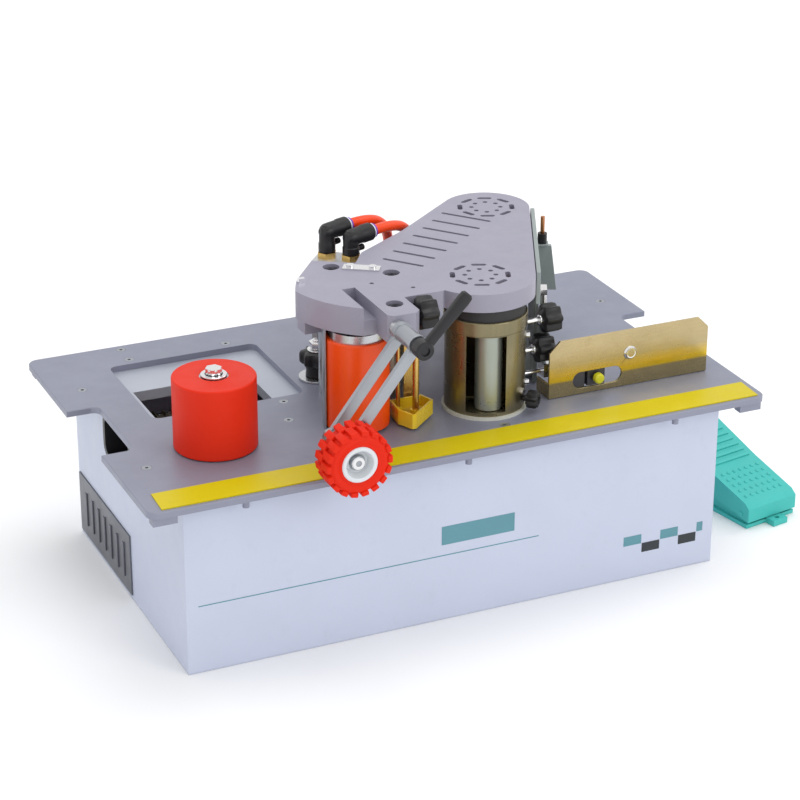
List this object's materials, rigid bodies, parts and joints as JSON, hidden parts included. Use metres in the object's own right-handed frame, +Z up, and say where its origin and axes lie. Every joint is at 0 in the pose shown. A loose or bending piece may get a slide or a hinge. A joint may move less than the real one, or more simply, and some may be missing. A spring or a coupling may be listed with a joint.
{
  "type": "edge banding machine",
  "caption": "Bench-top edge banding machine: cabinet, aluminium table, cast head with feed roller and glue pot, press wheel, fence, guide roller and foot pedal",
  "frame": {"origin": "centre of the cabinet's underside, on the surface the machine stands on", "axes": "+X along the table in the feed direction, +Y to the back, +Z up"},
  "size_m": [0.6908, 0.3875, 0.3337],
  "materials": {
    "cabinet_paint": "satin powder coat",
    "vent_steel": "brushed",
    "black_plastic": "moulded, slightly glossy",
    "table_aluminium": "clear anodised, bead blasted",
    "dark_screw": "blackened",
    "yellow_strip": "smooth",
    "ledge_steel": "satin",
    "electrics_grey": "moulded",
    "red_anodised": "anodised, satin",
    "bearing_steel": "turned",
    "bolt_steel": "bright",
    "orange_rubber": "ground polyurethane",
    "head_casting": "silver paint on a casting",
    "pillar_steel": "turned",
    "black_rubber": "matte",
    "red_rubber": "matte",
    "motor_black": "satin",
    "housing_grey": "satin",
    "wall_grey": "satin",
    "zinc_yellow": "yellow passivated zinc",
    "base_ring": "satin",
    "lid_black": "insulating board",
    "glue_roller": "satin",
    "white_plastic": "moulded",
    "brass": "turned",
    "yellow_shoe": "moulded",
    "yellow_nut": "moulded",
    "cylinder_grey": "anodised",
    "purple_collet": "moulded",
    "orange_hose": "polyurethane tube",
    "pedal_teal": "moulded"
  },
  "bodies": {
    "root": {"cabinet_shell": "cabinet_paint", "bottom_plate": "cabinet_paint", "vent_panel": "vent_steel", "hand_cups": "black_plastic", "table_plate": "table_aluminium", "table_screws": "dark_screw", "table_spacers": "table_aluminium", "edge_strip": "yellow_strip", "window_ledge": "ledge_steel", "electrics": "electrics_grey", "guide_bolt": "bolt_steel", "head_casting": "head_casting", "head_pillars": "pillar_steel", "head_bolts": "dark_screw", "clip_plate": "bolt_steel", "drive_belt": "orange_rubber", "feed_belt": "black_rubber", "motor": "motor_black", "rear_housing": "housing_grey", "side_wall": "wall_grey", "glue_pot": "zinc_yellow", "pot_base_ring": "base_ring", "pot_lid": "lid_black", "pot_screws": "bolt_steel", "pivot_pin": "bolt_steel", "roller_guard": "ledge_steel", "guide_rods": "brass", "fence_rail": "pillar_steel", "side_bracket": "wall_grey", "heat_probe": "black_plastic", "cutter_cylinder": "cylinder_grey", "elbow_bases": "brass", "elbow_bodies": "black_plastic", "elbow_collets": "purple_collet", "hose_left": "orange_hose", "hose_right": "orange_hose", "hose_bulkheads": "brass", "gauge_seat": "bolt_steel", "inlet_panel": "black_plastic", "pedal_base": "pedal_teal"},
    "guide_roller": {"guide_roller": "red_anodised", "guide_bearings": "bearing_steel"},
    "motor_shaft": {"motor_shaft": "bearing_steel"},
    "feed_roller": {"feed_roller": "orange_rubber", "feed_shaft": "bearing_steel"},
    "glue_roller": {"glue_roller": "glue_roller"},
    "press_arm": {"press_arm": "pillar_steel"},
    "press_wheel": {"press_tyre": "red_rubber", "press_hub": "white_plastic"},
    "clamp_lever": {"clamp_lever": "black_plastic"},
    "arm_knob": {"arm_knob": "black_plastic"},
    "upper_knob": {"upper_knob": "black_plastic"},
    "lower_knob": {"lower_knob": "black_plastic"},
    "gap_knob": {"gap_knob": "black_plastic"},
    "gauge_knob": {"gauge_knob": "black_plastic"},
    "tape_shoe": {"tape_shoe": "yellow_shoe"},
    "fence": {"fence": "zinc_yellow"},
    "fence_lock": {"fence_lock": "yellow_nut"},
    "cutter_blade": {"cutter_blade": "bearing_steel"},
    "pedal_plate": {"pedal_plate": "pedal_teal"}
  },
  "joints": [
    {"name": "guide_roller_spin", "type": "hinge", "parent": "root", "child": "guide_roller", "pos_m": [-0.201, -0.0665, 0.2], "axis": [0, 0, 1], "continuous": true},
    {"name": "motor_spin", "type": "hinge", "parent": "root", "child": "motor_shaft", "pos_m": [0.137, 0.087, 0.2], "axis": [0, 0, 1], "continuous": true},
    {"name": "feed_roller_spin", "type": "hinge", "parent": "root", "child": "feed_roller", "pos_m": [-0.069, -0.076, 0.2], "axis": [0, 0, 1], "continuous": true},
    {"name": "glue_roller_spin", "type": "hinge", "parent": "root", "child": "glue_roller", "pos_m": [0.048, -0.103, 0.2], "axis": [0, 0, 1], "continuous": true},
    {"name": "press_arm_swing", "type": "hinge", "parent": "root", "child": "press_arm", "pos_m": [-0.055, -0.15, 0.2855], "axis": [0, 1, 0], "range_deg": [0, 30]},
    {"name": "press_wheel_spin", "type": "hinge", "parent": "press_arm", "child": "press_wheel", "pos_m": [-0.122, -0.19, 0.199], "axis": [0, 1, 0], "continuous": true},
    {"name": "clamp_lever_turn", "type": "hinge", "parent": "root", "child": "clamp_lever", "pos_m": [-0.055, -0.184, 0.2855], "axis": [0, 1, 0], "range_deg": [-30, 30]},
    {"name": "arm_knob_turn", "type": "hinge", "parent": "root", "child": "arm_knob", "pos_m": [-0.02, -0.113, 0.287], "axis": [1, 0, 0], "continuous": true},
    {"name": "upper_knob_turn", "type": "hinge", "parent": "root", "child": "upper_knob", "pos_m": [0.121, -0.08, 0.2465], "axis": [1, 0, 0], "continuous": true},
    {"name": "lower_knob_turn", "type": "hinge", "parent": "root", "child": "lower_knob", "pos_m": [0.115, -0.08, 0.218], "axis": [1, 0, 0], "continuous": true},
    {"name": "gap_knob_turn", "type": "hinge", "parent": "root", "child": "gap_knob", "pos_m": [0.08411, -0.11644, 0.187], "axis": [0.6691, -0.7431, 0], "continuous": true},
    {"name": "gauge_knob_turn", "type": "hinge", "parent": "root", "child": "gauge_knob", "pos_m": [-0.0624, 0.0345, 0.2], "axis": [0, 0, 1], "continuous": true},
    {"name": "tape_shoe_slide", "type": "slide", "parent": "root", "child": "tape_shoe", "axis": [0, 0, 1], "range_m": [0, 0.02]},
    {"name": "fence_slide", "type": "slide", "parent": "root", "child": "fence", "axis": [1, 0, 0], "range_m": [-0.014, 0.014]},
    {"name": "fence_lock_turn", "type": "hinge", "parent": "root", "child": "fence_lock", "pos_m": [0.162, -0.103, 0.188], "axis": [0, 1, 0], "range_deg": [-45, 45]},
    {"name": "cutter_stroke", "type": "slide", "parent": "root", "child": "cutter_blade", "axis": [0, 0, 1], "range_m": [-0.018, 0], "stiffness_N_per_m": 200, "springref_m": 0.01},
    {"name": "pedal_press", "type": "hinge", "parent": "root", "child": "pedal_plate", "pos_m": [0.35828, -0.09416, 0.013], "axis": [-0.9816, -0.1908, 0], "range_deg": [0, 6], "stiffness_Nm_per_rad": 2, "springref_deg": -17.19}
  ],
  "couplings": [
    {"joint": "feed_roller_spin", "follows": "motor_spin", "ratio": 1},
    {"joint": "glue_roller_spin", "follows": "motor_spin", "ratio": 2.3077}
  ]
}
